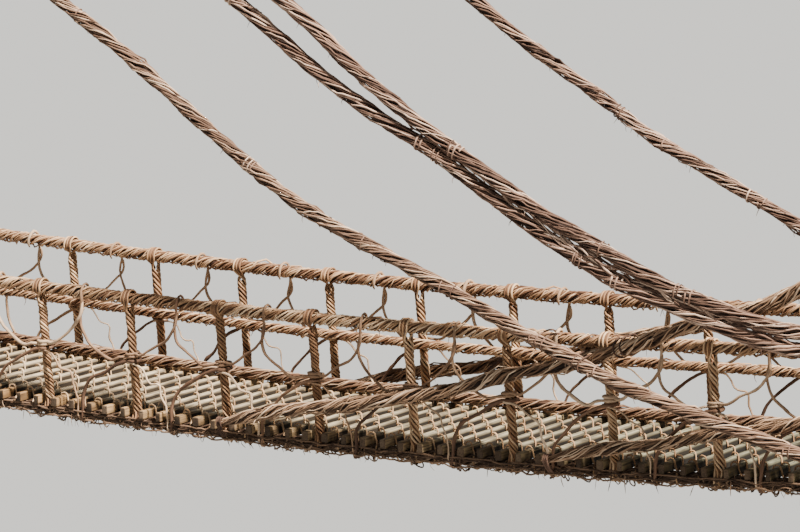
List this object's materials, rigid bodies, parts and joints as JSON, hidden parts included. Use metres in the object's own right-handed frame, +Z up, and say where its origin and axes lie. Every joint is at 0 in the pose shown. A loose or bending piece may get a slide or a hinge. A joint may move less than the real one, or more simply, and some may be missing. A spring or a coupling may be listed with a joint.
{
  "type": "rope suspension footbridge",
  "caption": "Footbridge of squared wooden slats on bearer ropes, with railings of twisted vines, bundled posts, diamond nets and long stays rising past both sides",
  "frame": {"origin": "middle of the flat underside of the left end beam", "axes": "+X runs along the bridge to the right end, +Y across it to the far side, +Z up"},
  "size_m": [12.0734, 2.7004, 4.7667],
  "materials": {
    "vine_rope": "rough twisted vine bark, reddish brown",
    "stay_vine": "rough twisted vine bark, greyer brown",
    "thin_vine": "single knobbly vine, rough",
    "slat_wood": "weathered split timber, silver grey",
    "beam_wood": "weathered log with a hewn underside"
  },
  "bodies": {
    "root": {"deck_slats_1": "slat_wood", "deck_slats_2": "slat_wood", "deck_slats_3": "slat_wood", "deck_slats_4": "slat_wood", "deck_slats_5": "slat_wood", "deck_slats_6": "slat_wood", "near_edge_bearer": "vine_rope", "near_inner_bearer": "vine_rope", "far_inner_bearer": "vine_rope", "far_edge_bearer": "vine_rope", "near_top_rail": "vine_rope", "far_top_rail": "vine_rope", "far_mid_rail": "vine_rope", "far_toe_rope": "vine_rope", "left_end_beam": "beam_wood", "right_end_beam": "beam_wood", "near_post_1": "vine_rope", "near_post_2": "vine_rope", "near_post_3": "vine_rope", "near_post_4": "vine_rope", "near_post_5": "vine_rope", "near_post_6": "vine_rope", "near_post_7": "vine_rope", "near_post_8": "vine_rope", "near_post_9": "vine_rope", "near_post_10": "vine_rope", "near_net": "thin_vine", "far_post_1": "vine_rope", "far_post_2": "vine_rope", "far_post_3": "vine_rope", "far_post_4": "vine_rope", "far_post_5": "vine_rope", "far_post_6": "vine_rope", "far_post_7": "vine_rope", "far_post_8": "vine_rope", "far_post_9": "vine_rope", "far_post_10": "vine_rope", "far_net": "thin_vine", "near_long_stay": "stay_vine", "near_bundle_stay_lower": "stay_vine", "near_bundle_stay_upper": "stay_vine", "far_long_stay": "stay_vine", "near_rising_stay": "stay_vine", "far_rising_stay": "stay_vine", "near_low_stay": "stay_vine", "near_low_stay_eye": "stay_vine"}
  },
  "joints": []
}
